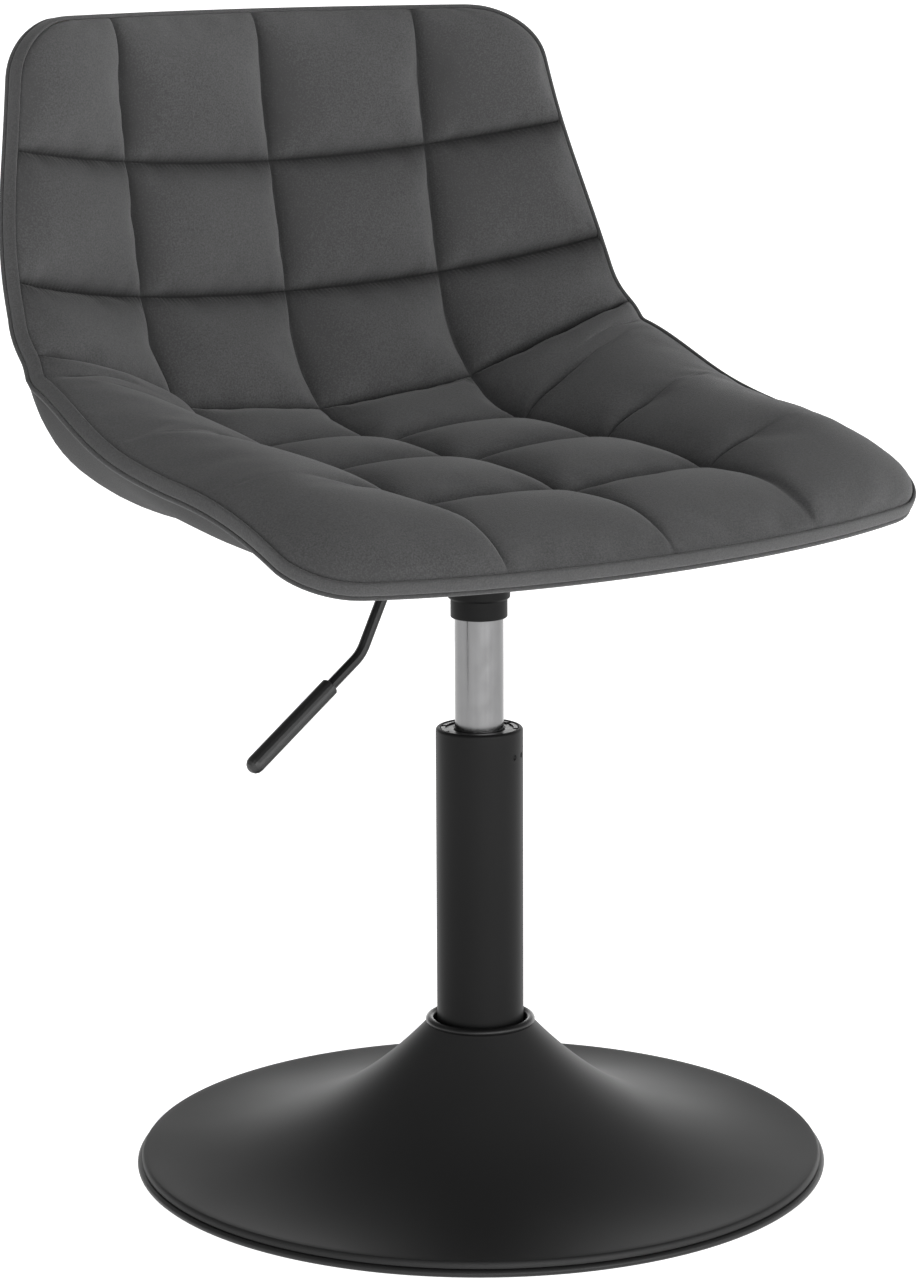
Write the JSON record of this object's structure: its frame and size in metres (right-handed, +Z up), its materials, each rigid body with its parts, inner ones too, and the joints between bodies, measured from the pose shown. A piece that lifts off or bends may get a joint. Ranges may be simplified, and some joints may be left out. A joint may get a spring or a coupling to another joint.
{
  "type": "adjustable swivel stool",
  "caption": "Low-backed quilted seat on a gas-lift column and a round trumpet base, with a bent lever under one side that sets its height.",
  "frame": {"origin": "on the floor, under the column's axis, in the middle of the pad under the base", "axes": "+Z up; -Y the seat's front edge, +Y its back; +X the sitter's left; the lever is on the -X side"},
  "size_m": [0.4524, 0.4255, 0.6558],
  "materials": {
    "rubber": "matt black",
    "black_powder_coat": "satin black powder coat on steel",
    "raw_steel": "bare steel plate, hidden",
    "gloss_black_plastic": "polished black",
    "zinc_plated_steel": "bright zinc plate",
    "black_plastic": "moulded black",
    "bearing_steel": "ground and greased",
    "satin_chrome": "satin hard chrome",
    "brass": "turned",
    "birch_plywood": "raw plywood, hidden",
    "grey_velvet": "short-pile dark grey velvet over foam"
  },
  "bodies": {
    "base": {"floor_pad": "rubber", "base_shell": "black_powder_coat", "base_weight": "raw_steel", "neck_ring": "gloss_black_plastic", "foot_bolt": "zinc_plated_steel", "foot_washer": "zinc_plated_steel", "column_tube": "black_powder_coat", "column_foot": "raw_steel", "column_end_plate": "raw_steel", "guide_bush": "black_plastic", "bush_retainer": "zinc_plated_steel", "bearing_lower_race": "bearing_steel"},
    "spindle": {"piston_rod": "satin_chrome", "rod_clip": "zinc_plated_steel", "rod_washer": "zinc_plated_steel", "bearing_ball_cage": "brass", "bearing_upper_race": "bearing_steel", "rubber_bumper": "rubber", "piston_head": "black_plastic", "piston_nut": "zinc_plated_steel"},
    "seat": {"gas_cylinder": "satin_chrome", "cylinder_gland": "brass", "rod_seal": "rubber", "taper_socket": "black_powder_coat", "lever_bridge": "black_powder_coat", "lever_pivot_pin": "zinc_plated_steel", "seat_plate": "black_powder_coat", "seat_bolt_1": "zinc_plated_steel", "seat_bolt_2": "zinc_plated_steel", "seat_bolt_3": "zinc_plated_steel", "seat_bolt_4": "zinc_plated_steel", "tee_nut_1": "zinc_plated_steel", "tee_nut_2": "zinc_plated_steel", "tee_nut_3": "zinc_plated_steel", "tee_nut_4": "zinc_plated_steel", "mounting_board": "birch_plywood", "seat_shell": "birch_plywood", "seat_pad": "grey_velvet", "under_cover": "grey_velvet", "edge_band": "grey_velvet"},
    "lever": {"lever_rod": "black_powder_coat", "lever_grip": "black_plastic"},
    "valve": {"valve_pin": "satin_chrome"}
  },
  "joints": [
    {"name": "swivel", "type": "hinge", "parent": "base", "child": "spindle", "pos_m": [0, 0, 0.04], "axis": [0, 0, 1], "continuous": true},
    {"name": "height", "type": "slide", "parent": "spindle", "child": "seat", "axis": [0, 0, 1], "range_m": [-0.058, 0.062]},
    {"name": "lever_lift", "type": "hinge", "parent": "seat", "child": "lever", "pos_m": [-0.026, 0, 0.363], "axis": [0, 1, 0], "range_deg": [0, 5], "stiffness_Nm_per_rad": 0.6, "springref_deg": -8.59},
    {"name": "valve_press", "type": "slide", "parent": "seat", "child": "valve", "axis": [0, 0, -1], "range_m": [0, 0.0027]}
  ],
  "couplings": [
    {"joint": "valve_press", "follows": "lever_lift", "m_per_rad": 0.03}
  ]
}
